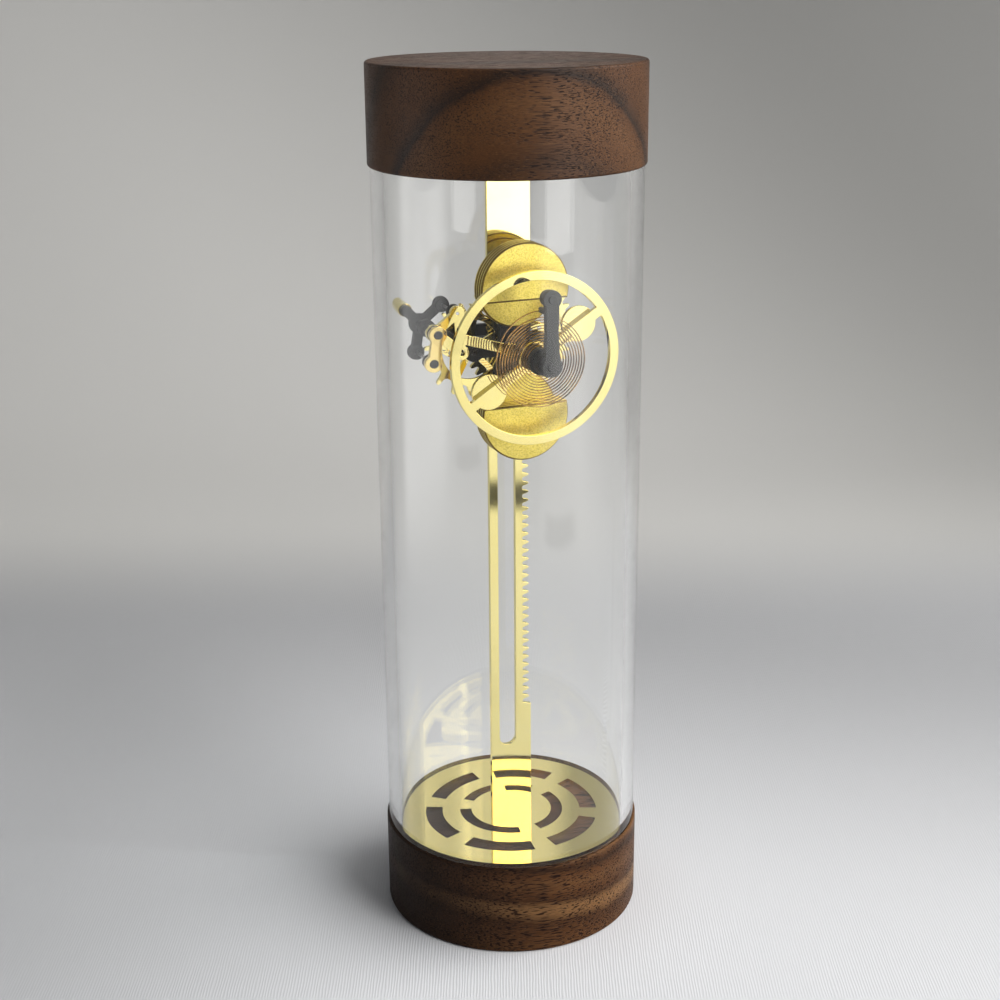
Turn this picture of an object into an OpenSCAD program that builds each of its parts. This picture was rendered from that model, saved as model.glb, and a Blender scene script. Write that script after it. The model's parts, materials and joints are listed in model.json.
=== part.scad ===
// Mechanical hourglass: a weighted movement climbs down a toothed strip in a glass tube.
// Millimetres, +Z up, the movement faces -Y, the origin is the middle of the underside.

/* [Case] */
// Height over both wooden caps
overall_height = 204; // [200:1:260]
// Outside diameter of the glass tube
tube_diameter = 61; // [60:0.5:80]
// Wall of the glass tube
tube_wall = 3; // [1.6:0.1:3.2]
// How far a cap stands out past the tube
cap_overhang = 0.5; // [0.4:0.1:6]
// Height of each wooden cap
cap_height = 22.4; // [16:0.2:30]
// Rounding of the cap edges
cap_edge = 0.6; // [0.4:0.1:3]
// Depth of the groove that holds the tube
groove_depth = 4; // [2:0.5:8]

/* [Fretted disc] */
// Thickness of the brass discs
disc_thickness = 1; // [0.6:0.1:2]
// Gap between a disc and the tube
disc_gap = 0.2; // [0.1:0.05:0.5]
// Inner edge of the outer slots, from the middle
fret_from = 17.2; // [16:0.1:19]
// Outer edge of the outer slots, from the middle
fret_to = 21.4; // [20:0.1:24]
// Number of outer slots round the disc
fret_count = 6; // [4:1:10]
// Radius of the inner slots
fret_ring = 11.4; // [9:0.1:13]
// Width of the inner slots
fret_width = 2.8; // [1.6:0.1:3.6]
// Number of inner slots
fret_ring_count = 3; // [2:1:6]
// Brass left between one slot and the next
fret_bridge = 4.6; // [3:0.1:8]

/* [Toothed strip] */
// Width of the strip
strip_width = 10.4; // [10:0.1:11]
// Thickness of the strip
strip_thickness = 1.2; // [0.8:0.1:1.6]
// Width of the long guide slot
guide_width = 4.4; // [3.6:0.1:4.6]
// Plain length between a disc and the guide slot
guide_margin = 17.9; // [12:0.1:24]
// Plain length between the slot end and the first tooth
tooth_margin = 10.5; // [8:0.5:16]
// How deep the strip stands in each cap
tenon_length = 7; // [4:0.5:12]

/* [Movement] */
// How far the movement hangs below its highest place
drop_from_top = 4.3; // [4.2:0.1:80]
// Radius of the weights
weight_radius = 10.4; // [9.6:0.1:10.6]
// Distance of each weight from the middle of the movement
weight_offset = 14.4; // [14.2:0.1:16]
// Distance of the flat from the middle of a weight
weight_flat = 2.6; // [1.6:0.1:2.8]
// Thickness of one weight plate
weight_plate_thickness = 1.2; // [1:0.05:1.25]
// Chamfer of the weights
weight_edge = 0.35; // [0.1:0.05:0.4]
// Thickness of the frame plates
frame_thickness = 1.3; // [1:0.1:1.6]

/* [Gear train] */
// Distance from tooth to tooth along the strip and round the great wheel
tooth_pitch = 2.11; // [2.08:0.01:2.14]
// Pins in the pinion that runs on the strip
strip_pinion_pins = 10; // [9:1:10]
// Pins in the second pinion
second_pinion_pins = 10; // [9:1:10]
// Teeth of the great wheel
great_wheel_teeth = 40; // [38:1:40]
// Radius of the pinion pins
pinion_pin_radius = 0.5; // [0.4:0.02:0.52]
// Teeth of the escape wheel
escape_teeth = 15; // [12:1:18]
// Radius of the escape wheel over its teeth
escape_radius = 10.9; // [9:0.1:10.9]

/* [Balance] */
// Outside radius of the balance rim
balance_radius = 19.5; // [18.5:0.05:20.5]
// Width of the balance rim
rim_width = 2; // [1.2:0.1:2.6]
// Width of the balance spoke
spoke_width = 2.2; // [1.6:0.1:3]
// Angle of the spoke at rest
spoke_angle = 32.7; // [0:0.1:90]
// Radius of the discs on the spoke
balance_disc_radius = 4; // [2.5:0.1:4.4]
// Turns of the hairspring
spring_turns = 12; // [6:0.5:12]
// Thickness of the hairspring ribbon
spring_thickness = 0.14; // [0.1:0.01:0.19]
// Height of the hairspring ribbon
spring_height = 0.45; // [0.4:0.05:1.2]

/* [Fits] */
// Gap round parts that are pressed or glued
fit = 0.02; // [0.01:0.01:0.05]
// Gap round parts that turn
running = 0.04; // [0.02:0.01:0.08]
// Gap each side of the guide shoes in the slot
sliding = 0.06; // [0.03:0.01:0.1]

/* [Hidden] */

tube_radius = tube_diameter / 2;
bore_radius = tube_radius - tube_wall;
cap_radius = tube_radius + cap_overhang;
disc_radius = bore_radius - disc_gap;
groove_room = 0.05;
tenon_room = 0.1;
middle = overall_height / 2;
clear_height = overall_height - 2 * cap_height;

strip_half = strip_thickness / 2;
strip_edge = strip_width / 2;
guide_x = -0.9;
guide_half = guide_width / 2;
guide_reach = clear_height / 2 - guide_margin;
shoe_half_length = 4;
shoe_reach = weight_offset + shoe_half_length;
rise = guide_reach - shoe_reach - drop_from_top;
rest = middle + rise;

tooth_room = 0.06;
gullet = pinion_pin_radius + tooth_room;
tip_half = 0.12;
strip_pinion_radius = strip_pinion_pins * tooth_pitch / (2 * PI);
second_pinion_radius = second_pinion_pins * tooth_pitch / (2 * PI);
great_radius = great_wheel_teeth * tooth_pitch / (2 * PI);
root_x = 3.05;
pitch_x = root_x + gullet;
gaps_each_way = floor((guide_reach - tooth_margin) / tooth_pitch);

// Axes of the movement, seen from the front as [across, up] from its middle
great_axis = [pitch_x + strip_pinion_radius, 0];
second_bearing = 180;
second_axis = great_axis + (great_radius + second_pinion_radius) * [cos(second_bearing), sin(second_bearing)];
pallet_bearing = 150;
pallet_reach = escape_radius + 1.7;
pallet_axis = second_axis + pallet_reach * [cos(pallet_bearing), sin(pallet_bearing)];
pallet_pin_radius = 0.35;
pallet_pin_clear = 0.65;
pallet_pin_reach = escape_radius + pallet_pin_radius + pallet_pin_clear;
pallet_pin_spread = 30;
upper_pin = second_axis
  + pallet_pin_reach * [cos(pallet_bearing - pallet_pin_spread), sin(pallet_bearing - pallet_pin_spread)];
lower_pin = second_axis
  + pallet_pin_reach * [cos(pallet_bearing + pallet_pin_spread), sin(pallet_bearing + pallet_pin_spread)];
lever_corner = pallet_axis + [5.9, -4.9];
trim_place = pallet_axis + [-2.9, 3.1];
lever_length = norm(pallet_axis);
lever_angle = atan2(-pallet_axis[1], -pallet_axis[0]);
impulse_reach = 2.4;
impulse_place = -impulse_reach * [cos(lever_angle), sin(lever_angle)];
impulse_radius = 0.45;
fork_gap = 0.14;
cock_top = 14.7;

// Layers, as distances in front of the middle of the strip
shroud_gap = 0.3;
shroud_thickness = 0.8;
shroud_near = strip_half + shroud_gap;
shroud_far = shroud_near + shroud_thickness;
escape_gap = 0.6;
escape_thickness = 0.8;
escape_near = strip_half + escape_gap;
escape_far = escape_near + escape_thickness;
front_gap = 1;
front_near = escape_far + front_gap;
front_far = front_near + frame_thickness;
weight_disc_thickness = 1.4;
weight_disc_far = front_far + weight_disc_thickness;
lever_near = 9;
lever_far = 10.2;
pallet_link_near = 11;
pallet_link_far = 12.2;
balance_near = 15.2;
balance_far = 16.4;
hub_near = 11.2;
hub_far = 19.8;
spring_level = 19;
cock_hub_near = 20.2;
cock_boss_near = 21.9;
cock_near = 23.2;
cock_far = 24.8;

// Layers behind the strip
back_gap = 0.5;
back_near = -(shroud_far + back_gap);
back_far = back_near - frame_thickness;
anchor_gap = 0.3;
anchor_thickness = 1.3;
anchor_near = back_near + anchor_gap;
anchor_far = anchor_near + anchor_thickness;
great_near = -10.4;
great_far = -11.6;
bridge_near = -13.4;
bridge_far = -14.8;

great_arbor_radius = 1.1;
second_arbor_radius = 0.9;
pallet_arbor_radius = 0.9;
pallet_button_radius = 0.9;
pallet_collar_radius = 1.6;
post_radius = 1.2;
cock_foot_radius = 2.3;
cock_head_radius = 2;
cock_pin_radius = 1;
stud_radius = 0.7;
hub_radius = 2.6;
collet_radius = 3;
balance_disc_reach = 12.5;
balance_disc_thickness = 1;
balance_boss_wall = 1.2;
hub_flange_radius = 3.4;
hub_flange_height = 1;
collet_height = 1.6;
impulse_stand = 0.2;
weight_screw_x = 5.2;
weight_screw_z = 1.5;
weight_disc_step = 1;
screw_radius = 0.8;
weight_head_radius = 1.4;
weight_head_height = 0.9;
shoe_head_radius = 1.7;
shoe_head_height = 1.1;

// Arms and bosses of the frame and the bridge
spine_width = 7.6;
front_pad_radius = 7.2;
back_pad_radius = 5.4;
post_pad_radius = 4.4;
great_arm_width = 4;
second_arm_width = 3.4;
pallet_arm_width = 2.6;
boss_wall = 1.5;
pallet_boss_wall = 1;
arbor_room = 0.4;
pivot_stand = 0.3;
pillar_radius = 1.4;
pillar_boss_radius = 2.1;
pillar_x = 3;
pillar_gap = 0.5;
bridge_arm_width = 3.4;
bridge_head_radius = 1.6;
bridge_head_height = 1;

// Post of the balance and its cock
post_head_radius = 2.2;
post_head_height = 0.6;
post_flange_radius = 2.8;
post_flange_height = 1.6;
post_sleeve_radius = 1.8;
end_play = 0.15;
pin_stand = 0.3;
cock_foot_half = 1.75;
cock_waist_half = 1.3;
cock_head_half = 1.5;
cock_boss_step = 0.2;
stud_slit_room = 0.12;
stud_slit_past = 0.2;
stud_tip = 0.2;

// Wheels
shroud_rim = 0.5;
second_shroud_rim = 0.4;
second_shroud_gap = 0.4;
great_rim = 1.6;
great_hub_radius = 3.2;
great_spoke_width = 1.6;
escape_tooth_height = 2.6;
escape_rim = 1.5;
escape_hub_radius = 2.2;
escape_spoke_width = 1.3;
wheel_spokes = 5;

// Pallets
lever_arm_width = 2.2;
lever_brace_width = 2;
lever_boss_radius = 1.9;
lever_hole_radius = 0.7;
lever_tail_from = 5;
fork_wall = 0.9;
fork_depth = 0.9;
fork_past = 0.75;
fork_neck = 1;
anchor_hub_radius = 2.3;
anchor_arm_width = 2.2;
anchor_boss_radius = 1.8;
collar_height = 1;
lever_collar_height = 2;
link_collar_height = 2.2;
link_width = 2.4;
link_boss_radius = 1.9;
button_stand = 0.2;
trim_radius = 1.5;
trim_boss_radius = 1.2;
trim_length = 7.5;
trim_screw_depth = 2.9;
trim_hole_room = 0.1;
trim_head_radius = 1.1;
trim_head_height = 0.6;

module layer(near, far) {
  translate([0, 0, rest])
    rotate([90, 0, 0])
      translate([0, 0, min(near, far)])
        linear_extrude(abs(far - near))
          children();
}

module rod(place, radius, near, far) {
  translate([place[0], -min(near, far), rest + place[1]])
    rotate([90, 0, 0])
      cylinder(r = radius, h = abs(far - near), $fn = 48);
}

module spot(place, radius) {
  translate(place)
    circle(r = radius, $fn = 64);
}

module bar(from, to, width) {
  length = norm(to - from);
  translate(from)
    rotate(atan2(to[1] - from[1], to[0] - from[0]))
      translate([0, -width / 2])
        square([length, width]);
}

// Caps

module cap_profile() {
  difference() {
    union() {
      square([cap_radius - cap_edge, cap_height]);
      translate([0, cap_edge])
        square([cap_radius, cap_height - 2 * cap_edge]);
      translate([cap_radius - cap_edge, cap_edge])
        circle(r = cap_edge, $fn = 48);
      translate([cap_radius - cap_edge, cap_height - cap_edge])
        circle(r = cap_edge, $fn = 48);
    }
    translate([-cap_radius, 0])
      square([cap_radius, cap_height]);
    translate([bore_radius - groove_room, cap_height - groove_depth])
      square([tube_wall + 2 * groove_room, groove_depth + 1]);
    translate([0, cap_height - disc_thickness])
      square([bore_radius, disc_thickness + 1]);
  }
}

module cap() {
  difference() {
    rotate_extrude($fn = 160)
      cap_profile();
    translate([-strip_edge - fit, -strip_half - fit, cap_height - tenon_length - tenon_room])
      cube([strip_width + 2 * fit, strip_thickness + 2 * fit, tenon_length + 1]);
  }
}

module over() {
  translate([0, 0, overall_height])
    mirror([0, 0, 1])
      children();
}

module cap_bottom() {
  color("saddlebrown")
    cap();
}

module cap_top() {
  color("saddlebrown")
    over()
      cap();
}

module tube() {
  color("lightcyan", 0.3)
    translate([0, 0, cap_height - groove_depth])
      difference() {
        cylinder(r = tube_radius, h = clear_height + 2 * groove_depth, $fn = 160);
        translate([0, 0, -1])
          cylinder(r = bore_radius, h = clear_height + 2 * groove_depth + 2, $fn = 160);
      }
}

// Fretted discs: two broken rings of curved slots, flush with the caps

module fret_arcs(from, to, count, turn) {
  radius = (from + to) / 2;
  half = 180 / count - fret_bridge / radius * 90 / PI;
  for (k = [0 : count - 1])
    rotate(turn + k * 360 / count)
      intersection() {
        difference() {
          circle(r = to, $fn = 128);
          circle(r = from, $fn = 128);
        }
        polygon(3 * to * [[0, 0], [cos(half), -sin(half)], [1, 0], [cos(half), sin(half)]]);
      }
}

module fretted_disc() {
  translate([0, 0, cap_height - disc_thickness])
    linear_extrude(disc_thickness)
      difference() {
        circle(r = disc_radius, $fn = 160);
        square([strip_width + 2 * fit, strip_thickness + 2 * fit], center = true);
        fret_arcs(fret_from, fret_to, fret_count, 0);
        fret_arcs(fret_ring - fret_width / 2, fret_ring + fret_width / 2, fret_ring_count, 90);
      }
}

module disc_bottom() {
  color("gold")
    fretted_disc();
}

module disc_top() {
  color("gold")
    over()
      fretted_disc();
}

// Toothed strip: the flanks are the path of a round pin of the pinion, set off by the pin's radius

function strip_out(t) = strip_pinion_radius * (1 - cos(t)) - gullet * sin(t / 2);
function strip_along(t) = strip_pinion_radius * (t * PI / 180 - sin(t)) + gullet * cos(t / 2);
function strip_tip(low, high, n) =
  n == 0 ? low
  : strip_along((low + high) / 2) < tooth_pitch / 2 - tip_half
    ? strip_tip((low + high) / 2, high, n - 1)
    : strip_tip(low, (low + high) / 2, n - 1);
flank_steps = 5;
gullet_steps = 6;
search_steps = 24;
strip_search = [20, 120];
strip_tip_angle = strip_tip(strip_search[0], strip_search[1], search_steps);
strip_gap = [
  for (i = [0 : flank_steps]) let(t = strip_tip_angle * (1 - i / flank_steps)) [strip_out(t), -strip_along(t)],
  for (i = [1 : gullet_steps - 1]) let(a = -90 + 180 * i / gullet_steps) [-gullet * cos(a), gullet * sin(a)],
  for (i = [0 : flank_steps]) let(t = strip_tip_angle * i / flank_steps) [strip_out(t), strip_along(t)]
];
rack_end = (gaps_each_way + 0.5) * tooth_pitch - tip_half;

module tooth_gaps() {
  polygon([
    [strip_edge + 1, -rack_end],
    for (k = [-gaps_each_way : gaps_each_way])
      for (p = strip_gap) [pitch_x + p[0], k * tooth_pitch + p[1]],
    [strip_edge + 1, rack_end]
  ]);
}

module toothed_strip() {
  foot = cap_height - tenon_length;
  color("gold")
    translate([0, strip_half, middle])
      rotate([90, 0, 0])
        linear_extrude(strip_thickness)
          difference() {
            translate([-strip_edge, foot - middle])
              square([strip_width, overall_height - 2 * foot]);
            translate([guide_x - guide_half, -guide_reach + guide_half])
              square([guide_width, 2 * (guide_reach - guide_half)]);
            spot([guide_x, guide_reach - guide_half], guide_half);
            spot([guide_x, -guide_reach + guide_half], guide_half);
            tooth_gaps();
          }
}

// Frame of the movement

module frame_front() {
  top = [0, weight_offset];
  color("dimgray")
    layer(front_near, front_far)
      difference() {
        union() {
          bar(-top, top, spine_width);
          spot(top, front_pad_radius);
          spot(-top, front_pad_radius);
          spot([0, 0], post_pad_radius);
          bar([0, 0], great_axis, great_arm_width);
          spot(great_axis, great_arbor_radius + boss_wall);
          bar([0, 0], second_axis, second_arm_width);
          spot(second_axis, second_arbor_radius + boss_wall);
          bar(second_axis, pallet_axis, pallet_arm_width);
          spot(pallet_axis, pallet_arbor_radius + pallet_boss_wall);
        }
        spot(great_axis, great_arbor_radius + running);
        spot(second_axis, second_arbor_radius + running);
        spot(pallet_axis, pallet_arbor_radius + running);
        spot([0, 0], post_radius + fit);
        for (s = [-1, 1]) {
          spot([guide_x, s * weight_offset], screw_radius + fit);
          for (x = [-weight_screw_x, weight_screw_x])
            spot([x, s * (weight_offset + weight_screw_z)], screw_radius + fit);
        }
      }
}

module frame_back() {
  top = [0, weight_offset];
  color("dimgray")
    layer(back_near, back_far)
      difference() {
        union() {
          bar(-top, top, spine_width);
          spot(top, back_pad_radius);
          spot(-top, back_pad_radius);
          bar([0, 0], great_axis, great_arm_width);
          spot(great_axis, great_arbor_radius + arbor_room + boss_wall);
          bar([0, 0], second_axis, second_arm_width);
          spot(second_axis, second_arbor_radius + arbor_room + boss_wall);
          bar(second_axis, pallet_axis, pallet_arm_width);
          spot(pallet_axis, pallet_arbor_radius + pallet_boss_wall);
          for (p = pillar_places)
            spot(p, pillar_boss_radius);
        }
        spot(great_axis, great_arbor_radius + arbor_room);
        spot(second_axis, second_arbor_radius + arbor_room);
        spot(pallet_axis, pallet_arbor_radius + running);
        for (p = pillar_places)
          spot(p, screw_radius + fit);
        for (s = [-1, 1])
          spot([guide_x, s * weight_offset], screw_radius + fit);
      }
}

module guide_shoes() {
  half = guide_half - sliding;
  color("darkgoldenrod")
    for (s = [-1, 1])
      layer(back_near, front_near)
        translate([guide_x, s * weight_offset])
          difference() {
            union() {
              square([2 * half, 2 * (shoe_half_length - half)], center = true);
              spot([0, shoe_half_length - half], half);
              spot([0, half - shoe_half_length], half);
            }
            circle(r = screw_radius + fit, $fn = 48);
          }
}

module shoe_screws() {
  color("silver")
    for (s = [-1, 1])
      union() {
        rod([guide_x, s * weight_offset], screw_radius, back_far, front_far);
        rod([guide_x, s * weight_offset], shoe_head_radius, back_far - shoe_head_height, back_far);
      }
}

// Weights: a full disc and four plates with a flat, each with a fine chamfer

module chamfered(radius, thickness) {
  cylinder(r1 = radius - weight_edge, r2 = radius, h = weight_edge, $fn = 128);
  translate([0, 0, weight_edge])
    cylinder(r = radius, h = thickness - 2 * weight_edge, $fn = 128);
  translate([0, 0, thickness - weight_edge])
    cylinder(r1 = radius, r2 = radius - weight_edge, h = weight_edge, $fn = 128);
}

module weight_screw_holes() {
  for (s = [-1, 1])
    for (x = [-weight_screw_x, weight_screw_x])
      rod(
        [x, s * (weight_offset + weight_screw_z)], screw_radius + fit,
        front_near - 1, weight_screw_end + fit
      );
}

weight_screw_end = weight_disc_far + 3.5 * weight_plate_thickness;

module weight_discs() {
  color("goldenrod")
    difference() {
      for (s = [-1, 1])
        translate([0, -front_far, rest + s * weight_offset])
          rotate([90, 0, 0])
            chamfered(weight_radius - weight_disc_step, weight_disc_thickness);
      weight_screw_holes();
    }
}

module weight_plates(n) {
  near = weight_disc_far + (n - 1) * weight_plate_thickness;
  color("goldenrod")
    difference() {
      for (s = [-1, 1])
        translate([0, -near, rest + s * weight_offset])
          rotate([90, 0, 0])
            intersection() {
              chamfered(weight_radius, weight_plate_thickness);
              translate([-weight_radius - 1, s > 0 ? -weight_flat : weight_flat - 2 * weight_radius, -1])
                cube([2 * weight_radius + 2, 2 * weight_radius, weight_plate_thickness + 2]);
            }
      weight_screw_holes();
    }
}

module weight_plates_1() {
  weight_plates(1);
}

module weight_plates_2() {
  weight_plates(2);
}

module weight_plates_3() {
  weight_plates(3);
}

module weight_plates_4() {
  weight_plates(4);
}

module weight_screws() {
  color("silver")
    for (s = [-1, 1])
      for (x = [-weight_screw_x, weight_screw_x])
        union() {
          rod([x, s * (weight_offset + weight_screw_z)], screw_radius, front_near, weight_screw_end);
          rod(
            [x, s * (weight_offset + weight_screw_z)], weight_head_radius,
            front_near - weight_head_height, front_near
          );
        }
}

// Bridge behind the great wheel, on pillars that clear the wheel's teeth

module rear_bridge() {
  color("dimgray")
    layer(bridge_near, bridge_far)
      difference() {
        union() {
          bar(second_axis, great_axis, great_arm_width);
          spot(great_axis, great_arbor_radius + boss_wall);
          spot(second_axis, second_arbor_radius + boss_wall);
          for (p = pillar_places) {
            bar(great_axis, p, bridge_arm_width);
            spot(p, pillar_boss_radius);
          }
        }
        spot(great_axis, great_arbor_radius + running);
        spot(second_axis, second_arbor_radius + running);
        for (p = pillar_places)
          spot(p, screw_radius + fit);
      }
}

module bridge_pillars() {
  color("silver")
    for (p = pillar_places)
      union() {
        rod(p, pillar_radius, back_far, bridge_near);
        rod(p, screw_radius, back_far, back_near);
      }
}

module bridge_screws() {
  color("silver")
    for (p = pillar_places)
      union() {
        rod(p, screw_radius, bridge_near, bridge_far);
        rod(p, bridge_head_radius, bridge_far, bridge_far - bridge_head_height);
      }
}

// Fixed post of the balance, with the cock that holds the outer end of the hairspring

module balance_post() {
  color("dimgray")
    union() {
      rod([0, 0], post_head_radius, front_near - post_head_height, front_near);
      rod([0, 0], post_radius, front_near, cock_far + pin_stand);
      rod([0, 0], post_flange_radius, front_far, front_far + post_flange_height);
      rod([0, 0], post_sleeve_radius, lever_far + end_play, hub_near - end_play);
    }
}

module balance_cock() {
  top = [0, cock_top];
  color("dimgray")
    difference() {
      union() {
        layer(cock_near, cock_far)
          union() {
            polygon([
              [-cock_foot_half, 0], [cock_foot_half, 0], [cock_waist_half, cock_top / 2],
              [cock_head_half, cock_top], [-cock_head_half, cock_top], [-cock_waist_half, cock_top / 2]
            ]);
            spot([0, 0], cock_foot_radius);
            spot(top, cock_head_radius);
          }
        rod([0, 0], hub_radius, cock_hub_near, cock_near);
        rod(top, cock_head_radius - cock_boss_step, cock_boss_near, cock_near);
      }
      rod([0, 0], post_radius + fit, cock_hub_near - 1, cock_far + 1);
      rod(top, cock_pin_radius + fit, cock_boss_near - 1, cock_far + 1);
      rod([0, spring_end], stud_radius + fit, cock_near - 1, cock_far + 1);
    }
}

module cock_pin() {
  color("dimgray")
    rod([0, cock_top], cock_pin_radius, cock_boss_near, cock_far + pin_stand);
}

module spring_stud() {
  slit = spring_thickness + stud_slit_room;
  color("dimgray")
    difference() {
      rod([0, spring_end], stud_radius, spring_level - spring_height / 2 - stud_tip, cock_far);
      translate([
        -2 * stud_radius, -spring_level - spring_height / 2 - stud_slit_room / 2, rest + spring_end - slit / 2
      ])
        cube([2 * stud_radius + stud_slit_past, spring_height + 2 * stud_radius, slit]);
    }
}

// Hairspring: one ribbon wound from the collet of the balance to the stud

spring_seat = 0.03;
spring_start = collet_radius + spring_thickness / 2 + spring_seat;
spring_pitch = 0.62;
spring_rise = 0.9;
spring_rise_turns = 0.75;
spring_rise_from = 0.6;
spring_rings = 30;
spring_last = spring_turns * spring_rings;
spring_end = spring_start + spring_turns * spring_pitch + spring_rise;
function spring_lift(n) =
  let(u = max(0, (n - spring_rise_from) / (1 - spring_rise_from))) u * u * (3 - 2 * u);
function spring_radius(i) =
  spring_start + spring_pitch * i / spring_rings
  + spring_rise * spring_lift(max(0, 1 - (spring_last - i) / (spring_rise_turns * spring_rings)));
function spring_angle(i) = 90 + 360 * (spring_last - i) / spring_rings;
function spring_ring(i) =
  let(a = spring_angle(i), r = spring_radius(i), t = spring_thickness / 2, h = spring_height / 2)
  [
    [(r - t) * cos(a), -spring_level + h, rest + (r - t) * sin(a)],
    [(r + t) * cos(a), -spring_level + h, rest + (r + t) * sin(a)],
    [(r + t) * cos(a), -spring_level - h, rest + (r + t) * sin(a)],
    [(r - t) * cos(a), -spring_level - h, rest + (r - t) * sin(a)]
  ];
spring_points = [for (i = [0 : spring_last]) for (p = spring_ring(i)) p];
spring_faces = [
  [0, 2, 1], [0, 3, 2],
  for (i = [0 : spring_last - 1]) for (j = [0 : 3])
    let(a = 4 * i + j, b = 4 * i + (j + 1) % 4)
    for (f = [[a, b + 4, a + 4], [a, b, b + 4]]) f,
  [4 * spring_last, 4 * spring_last + 1, 4 * spring_last + 2],
  [4 * spring_last, 4 * spring_last + 2, 4 * spring_last + 3]
];
spring_gap = min([
  for (i = [0 : spring_last - spring_rings])
    (spring_radius(i + spring_rings) - spring_radius(i)) * cos(180 / spring_rings) - spring_thickness
]);
echo("hairspring least gap to itself, mm", spring_gap);

module hairspring() {
  color("peru")
    polyhedron(points = spring_points, faces = spring_faces, convexity = 20);
}

// Great arbor: the pinion on the strip and the great wheel

strip_bearing = 180;
strip_pinion_turn = strip_bearing + rise / strip_pinion_radius * 180 / PI;

module great_arbor() {
  color("silver")
    rod(great_axis, great_arbor_radius, bridge_far - pivot_stand, front_far);
}

module strip_pinion_shrouds() {
  color("gold")
    for (near = [shroud_near, -shroud_far])
      layer(near, near + shroud_thickness)
        translate(great_axis)
          difference() {
            circle(r = strip_pinion_radius + pinion_pin_radius + shroud_rim, $fn = 96);
            circle(r = great_arbor_radius + fit, $fn = 48);
            for (k = [0 : strip_pinion_pins - 1])
              rotate(strip_pinion_turn + k * 360 / strip_pinion_pins)
                spot([strip_pinion_radius, 0], pinion_pin_radius + fit);
          }
}

module strip_pinion_pins_set() {
  color("silver")
    for (k = [0 : strip_pinion_pins - 1]) {
      a = strip_pinion_turn + k * 360 / strip_pinion_pins;
      rod(great_axis + strip_pinion_radius * [cos(a), sin(a)], pinion_pin_radius, -shroud_far, shroud_far);
    }
}

function wheel_turns() = (great_radius + second_pinion_radius) / second_pinion_radius;
function wheel_flank(t) =
  let(s = great_radius + second_pinion_radius, k = wheel_turns(), m = (k + 1) * t / 2)
  [
    s * cos(t) - second_pinion_radius * cos(k * t) - gullet * sin(m),
    s * sin(t) - second_pinion_radius * sin(k * t) + gullet * cos(m)
  ];
function wheel_bearing(t) = atan2(wheel_flank(t)[1], wheel_flank(t)[0]);
function wheel_tip(low, high, n) =
  n == 0 ? low
  : wheel_bearing((low + high) / 2) < 180 / great_wheel_teeth - tip_half / great_radius * 180 / PI
    ? wheel_tip((low + high) / 2, high, n - 1)
    : wheel_tip(low, (low + high) / 2, n - 1);
wheel_search = [2, 18];
wheel_tip_angle = wheel_tip(wheel_search[0], wheel_search[1], search_steps);
wheel_gap = [
  for (i = [0 : flank_steps])
    let(p = wheel_flank(wheel_tip_angle * (1 - i / flank_steps))) [p[0], -p[1]],
  for (i = [1 : gullet_steps - 1])
    let(a = -90 + 180 * i / gullet_steps) [great_radius - gullet * cos(a), gullet * sin(a)],
  for (i = [0 : flank_steps])
    wheel_flank(wheel_tip_angle * i / flank_steps)
];
wheel_outline = [
  for (k = [0 : great_wheel_teeth - 1])
    let(a = k * 360 / great_wheel_teeth)
    for (p = wheel_gap) [p[0] * cos(a) - p[1] * sin(a), p[0] * sin(a) + p[1] * cos(a)]
];

great_tip_radius = norm(wheel_flank(wheel_tip_angle));
pillar_reach = great_tip_radius + pillar_radius + pillar_gap;
pillar_z = sqrt(pow(pillar_reach, 2) - pow(great_axis[0] - pillar_x, 2));
pillar_places = [[pillar_x, pillar_z], [pillar_x, -pillar_z]];

module spokes(count, turn, length, width) {
  for (k = [0 : count - 1])
    rotate(turn + k * 360 / count)
      bar([0, 0], [length, 0], width);
}

module great_wheel() {
  rim = great_radius - gullet - great_rim;
  color("gold")
    layer(great_near, great_far)
      translate(great_axis)
        rotate(second_bearing)
          difference() {
            polygon(wheel_outline);
            difference() {
              circle(r = rim, $fn = 96);
              circle(r = great_hub_radius, $fn = 64);
              spokes(wheel_spokes, 180 / wheel_spokes, rim + great_rim / 2, great_spoke_width);
            }
            circle(r = great_arbor_radius + fit, $fn = 48);
          }
}

// Second arbor: the pinion in the great wheel and the escape wheel

module second_arbor() {
  color("silver")
    rod(second_axis, second_arbor_radius, bridge_far - pivot_stand, front_far);
}

second_pinion_turn = second_bearing + 180;

module second_pinion_shrouds() {
  color("gold")
    for (near = [great_near + second_shroud_gap, great_far - second_shroud_gap - shroud_thickness])
      layer(near, near + shroud_thickness)
        translate(second_axis)
          difference() {
            circle(r = second_pinion_radius + pinion_pin_radius + second_shroud_rim, $fn = 96);
            circle(r = second_arbor_radius + fit, $fn = 48);
            for (k = [0 : second_pinion_pins - 1])
              rotate(second_pinion_turn + k * 360 / second_pinion_pins)
                spot([second_pinion_radius, 0], pinion_pin_radius + fit);
          }
}

module second_pinion_pins_set() {
  reach = second_shroud_gap + shroud_thickness;
  color("silver")
    for (k = [0 : second_pinion_pins - 1]) {
      a = second_pinion_turn + k * 360 / second_pinion_pins;
      rod(
        second_axis + second_pinion_radius * [cos(a), sin(a)], pinion_pin_radius,
        great_far - reach, great_near + reach
      );
    }
}

escape_root = escape_radius - escape_tooth_height;
escape_tooth = [
  [escape_root, -0.52], [escape_root + 0.25, -0.3], [escape_root + 1.2, -0.18], [escape_radius - 0.35, -0.1],
  [escape_radius - 0.05, -0.04], [escape_radius, 0.02], [escape_radius - 0.1, 0.08], [escape_radius - 0.6, 0.1],
  [escape_root + 1, 0.09], [escape_root + 0.4, 0.14], [escape_root + 0.1, 0.26]
];

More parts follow.
